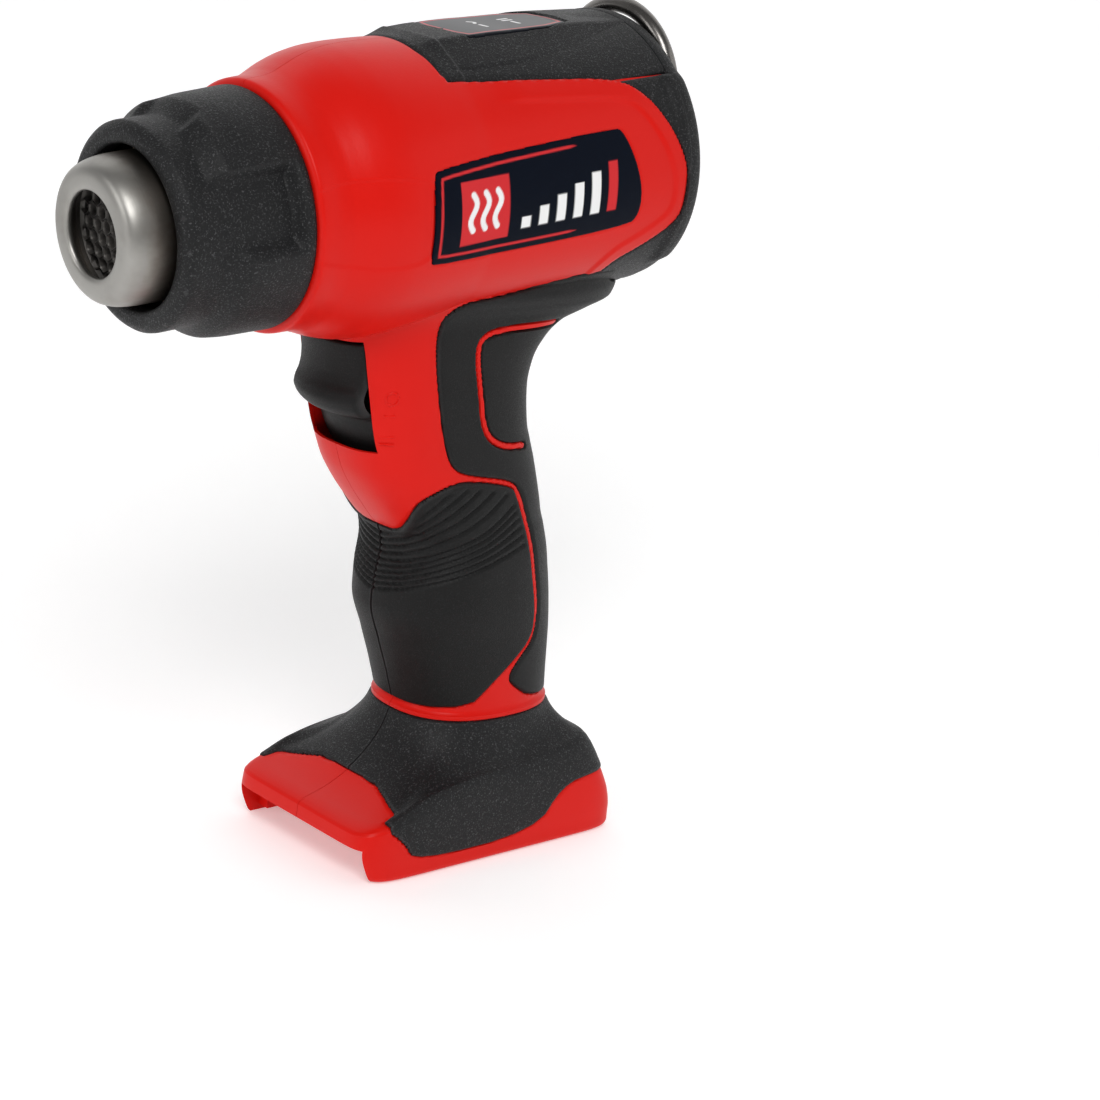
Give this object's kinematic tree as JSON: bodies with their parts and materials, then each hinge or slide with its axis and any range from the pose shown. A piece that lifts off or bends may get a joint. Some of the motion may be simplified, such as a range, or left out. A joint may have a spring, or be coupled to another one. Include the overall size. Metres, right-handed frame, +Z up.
{
  "type": "cordless heat gun",
  "caption": "Pistol-grip cordless hot-air gun: steel nozzle in a black collar, slide switch in the handle's front, folding hanging ring and a slide-on battery foot.",
  "frame": {"origin": "centre of the bounding box in plan, on the plane of the battery foot's lower edge", "axes": "+Z up the handle, the nozzle points to -X, the tool's left side is -Y; the half-shell seam is the plane y = 0"},
  "size_m": [0.1483, 0.0658, 0.2005],
  "materials": {
    "red_housing": "satin moulded ABS",
    "black_plastic": "spark-textured moulded nylon",
    "nozzle_steel": "turned stainless steel, lightly heat tinted",
    "honeycomb": "dull metal honeycomb",
    "mica": "pressed mica sheet",
    "resistance_wire": "drawn nickel-chrome wire",
    "ceramic": "unglazed steatite",
    "sheet_steel": "zinc plated",
    "fan_plastic": "natural glass-filled nylon",
    "armature": "laminated steel with enamelled copper",
    "magnet": "sintered ferrite",
    "contact_brass": "bright stamped",
    "circuit_board": "solder-masked laminate",
    "light_pipe": "clear diffused",
    "gloss_panel": "gloss printed film",
    "filter_foam": "open-cell filter foam",
    "ring_steel": "nickel plated",
    "grip_rubber": "soft textured overmould",
    "label_film": "gloss printed film",
    "screw_steel": "blackened steel",
    "red_insulation": "silicone insulation",
    "white_insulation": "glass-sleeved insulation",
    "black_insulation": "silicone insulation"
  },
  "bodies": {
    "housing": {"housing_left": "red_housing", "housing_right": "red_housing", "nozzle_collar": "black_plastic", "nozzle_tube": "nozzle_steel", "outlet_honeycomb": "honeycomb", "mica_sleeve": "mica", "heater_former": "mica", "heating_coil": "resistance_wire", "heater_flange": "ceramic", "thermal_cutout": "sheet_steel", "heat_shield": "mica", "fan_duct": "black_plastic", "motor_can": "sheet_steel", "motor_magnets": "magnet", "motor_end_bell": "black_plastic", "motor_brushes": "contact_brass", "motor_carrier": "black_plastic", "control_board": "circuit_board", "board_components": "black_plastic", "status_leds": "light_pipe", "top_cover": "black_plastic", "status_panel": "gloss_panel", "rear_cap": "black_plastic", "intake_screen": "filter_foam", "switch_body": "black_plastic", "switch_detent": "sheet_steel", "front_grip_left": "grip_rubber", "front_grip_right": "grip_rubber", "rear_grip_left": "grip_rubber", "rear_grip_right": "grip_rubber", "foot_cover_left": "grip_rubber", "foot_cover_right": "grip_rubber", "terminal_block": "black_plastic", "terminal_blades": "contact_brass", "label_left": "label_film", "label_right": "label_film", "housing_screws": "screw_steel", "battery_leads": "red_insulation", "control_leads": "white_insulation", "heater_leads": "white_insulation", "motor_leads": "black_insulation"},
    "fan_rotor": {"fan_impeller": "fan_plastic", "motor_shaft": "sheet_steel", "motor_armature": "armature"},
    "switch": {"switch_slider": "black_plastic", "switch_plunger": "fan_plastic"},
    "ring": {"hanging_ring": "ring_steel"}
  },
  "joints": [
    {"name": "switch_slide", "type": "slide", "parent": "housing", "child": "switch", "axis": [0.1736, 0, -0.9848], "range_m": [0, 0.007]},
    {"name": "ring_fold", "type": "hinge", "parent": "housing", "child": "ring", "pos_m": [0.07193, 0, 0.18113], "axis": [0, 1, 0], "range_deg": [0, 172]},
    {"name": "fan_spin", "type": "hinge", "parent": "housing", "child": "fan_rotor", "pos_m": [0.0164, 0, 0.16031], "axis": [0.9945, 0, 0.1045], "continuous": true}
  ]
}
